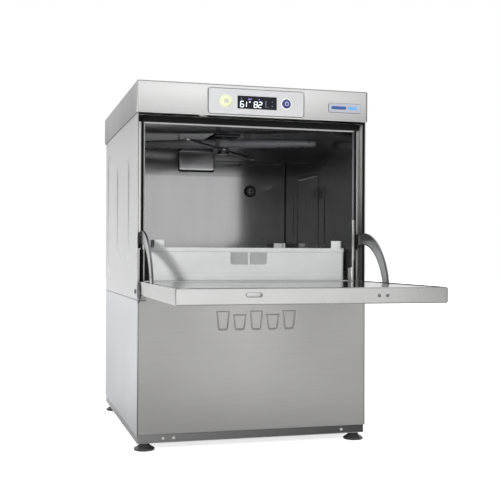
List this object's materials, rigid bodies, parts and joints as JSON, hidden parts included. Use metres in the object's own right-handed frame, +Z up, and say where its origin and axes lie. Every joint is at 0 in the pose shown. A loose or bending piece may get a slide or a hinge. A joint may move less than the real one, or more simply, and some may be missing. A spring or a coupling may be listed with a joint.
{
  "type": "glass washer machine",
  "caption": "Under-counter glass washer: steel cabinet, drop-down door on curved arms, sliding glass rack, spinning wash and rinse arms, fascia with display and buttons.",
  "frame": {"origin": "middle of the footprint with the door open, at floor level", "axes": "+Z up, +Y towards the back of the machine, +X to the right seen from the front"},
  "size_m": [0.46, 0.8816, 0.692],
  "materials": {
    "hood_steel": "fine horizontal brushed stainless, satin",
    "side_steel": "satin stainless, slightly bluish",
    "front_steel": "warmer satin stainless, faint vertical grain",
    "door_steel": "brushed stainless, bright at the edges",
    "liner_steel": "smooth stainless, softly reflecting",
    "arm_steel": "drawn stainless tube",
    "black_steel": "black coated, low sheen",
    "cast_metal": "cast motor housing, matt",
    "black_plastic": "moulded black plastic",
    "grey_plastic": "moulded grey plastic",
    "arm_plastic": "dark moulded plastic, wet sheen",
    "rack_plastic": "pale grey moulded plastic",
    "panel_print": "pale satin overlay with a thin dark outline",
    "display_glass": "black glossy window",
    "button_green": "yellow-green translucent ring",
    "button_blue": "dark blue, satin",
    "rubber": "black extruded rubber",
    "board": "green circuit board"
  },
  "bodies": {
    "cabinet": {"hood": "hood_steel", "upper_side_left": "side_steel", "upper_side_right": "side_steel", "lower_side_left": "side_steel", "lower_side_right": "side_steel", "lower_front_panel": "front_steel", "front_frame": "liner_steel", "back_panel": "side_steel", "base_tray": "black_steel", "wash_chamber": "liner_steel", "wash_tank": "liner_steel", "door_gasket": "rubber", "rack_rail_left": "liner_steel", "rack_rail_right": "liner_steel", "upper_duct": "liner_steel", "fill_nozzle": "rubber", "overflow_standpipe": "grey_plastic", "sump_strainer": "liner_steel", "tank_filter": "liner_steel", "wash_pipe": "grey_plastic", "tank_heater": "liner_steel", "upper_spindle": "liner_steel", "lower_spindle": "liner_steel", "wash_pump_motor": "cast_metal", "wash_pump_volute": "black_plastic", "drain_pump": "black_plastic", "detergent_pump": "grey_plastic", "rinse_aid_pump": "grey_plastic", "boiler_tank": "liner_steel", "inlet_valve": "grey_plastic", "drain_spigot": "black_plastic", "cable_gland": "black_plastic", "control_panel": "panel_print", "display_window": "display_glass", "control_board": "board", "badge_plate": "side_steel", "hinge_bracket_left": "black_steel", "hinge_bracket_right": "black_steel", "hinge_pin_left": "arm_steel", "hinge_pin_right": "arm_steel"},
    "door": {"door_outer_panel": "door_steel", "door_inner_panel": "door_steel", "door_arm_left": "door_steel", "door_arm_right": "door_steel", "door_hinge_lug_left": "black_steel", "door_hinge_lug_right": "black_steel", "door_magnet": "black_plastic"},
    "catch": {"door_catch": "arm_steel"},
    "rack": {"glass_rack": "rack_plastic"},
    "upper_wash": {"upper_wash_arm": "arm_plastic"},
    "upper_rinse": {"upper_rinse_arm": "arm_steel"},
    "lower_wash": {"lower_wash_arm": "arm_plastic"},
    "lower_rinse": {"lower_rinse_arm": "arm_steel"},
    "pump_rotor": {"wash_pump_impeller": "grey_plastic"},
    "start": {"start_button": "button_green"},
    "power": {"power_button": "button_blue"},
    "front_left_foot": {"foot_front_left": "black_plastic"},
    "front_right_foot": {"foot_front_right": "black_plastic"},
    "rear_left_foot": {"foot_rear_left": "black_plastic"},
    "rear_right_foot": {"foot_rear_right": "black_plastic"}
  },
  "joints": [
    {"name": "door_hinge", "type": "hinge", "parent": "cabinet", "child": "door", "pos_m": [0, -0.09525, 0.2855], "axis": [1, 0, 0], "range_deg": [-90, 0]},
    {"name": "catch_slide", "type": "slide", "parent": "cabinet", "child": "catch", "axis": [0, 0, -1], "range_m": [0, 0.0045], "stiffness_N_per_m": 600},
    {"name": "rack_slide", "type": "slide", "parent": "cabinet", "child": "rack", "axis": [0, -1, 0], "range_m": [0, 0.33]},
    {"name": "upper_wash_spin", "type": "hinge", "parent": "cabinet", "child": "upper_wash", "pos_m": [-0.004, 0.16225, 0.609], "axis": [0, 0, 1], "continuous": true},
    {"name": "upper_rinse_spin", "type": "hinge", "parent": "cabinet", "child": "upper_rinse", "pos_m": [-0.004, 0.16225, 0.5965], "axis": [0, 0, 1], "continuous": true},
    {"name": "lower_wash_spin", "type": "hinge", "parent": "cabinet", "child": "lower_wash", "pos_m": [0, 0.15075, 0.28], "axis": [0, 0, 1], "continuous": true},
    {"name": "lower_rinse_spin", "type": "hinge", "parent": "cabinet", "child": "lower_rinse", "pos_m": [0, 0.15075, 0.298], "axis": [0, 0, 1], "continuous": true},
    {"name": "pump_rotor_spin", "type": "hinge", "parent": "cabinet", "child": "pump_rotor", "pos_m": [0, 0.28275, 0.099], "axis": [1, 0, 0], "continuous": true},
    {"name": "start_press", "type": "slide", "parent": "cabinet", "child": "start", "axis": [0, 1, 0], "range_m": [0, 0.0012], "stiffness_N_per_m": 500},
    {"name": "power_press", "type": "slide", "parent": "cabinet", "child": "power", "axis": [0, 1, 0], "range_m": [0, 0.0012], "stiffness_N_per_m": 500},
    {"name": "front_left_foot_screw", "type": "slide", "parent": "cabinet", "child": "front_left_foot", "axis": [0, 0, -1], "range_m": [0, 0.015]},
    {"name": "front_right_foot_screw", "type": "slide", "parent": "cabinet", "child": "front_right_foot", "axis": [0, 0, -1], "range_m": [0, 0.015]},
    {"name": "rear_left_foot_screw", "type": "slide", "parent": "cabinet", "child": "rear_left_foot", "axis": [0, 0, -1], "range_m": [0, 0.015]},
    {"name": "rear_right_foot_screw", "type": "slide", "parent": "cabinet", "child": "rear_right_foot", "axis": [0, 0, -1], "range_m": [0, 0.015]}
  ]
}
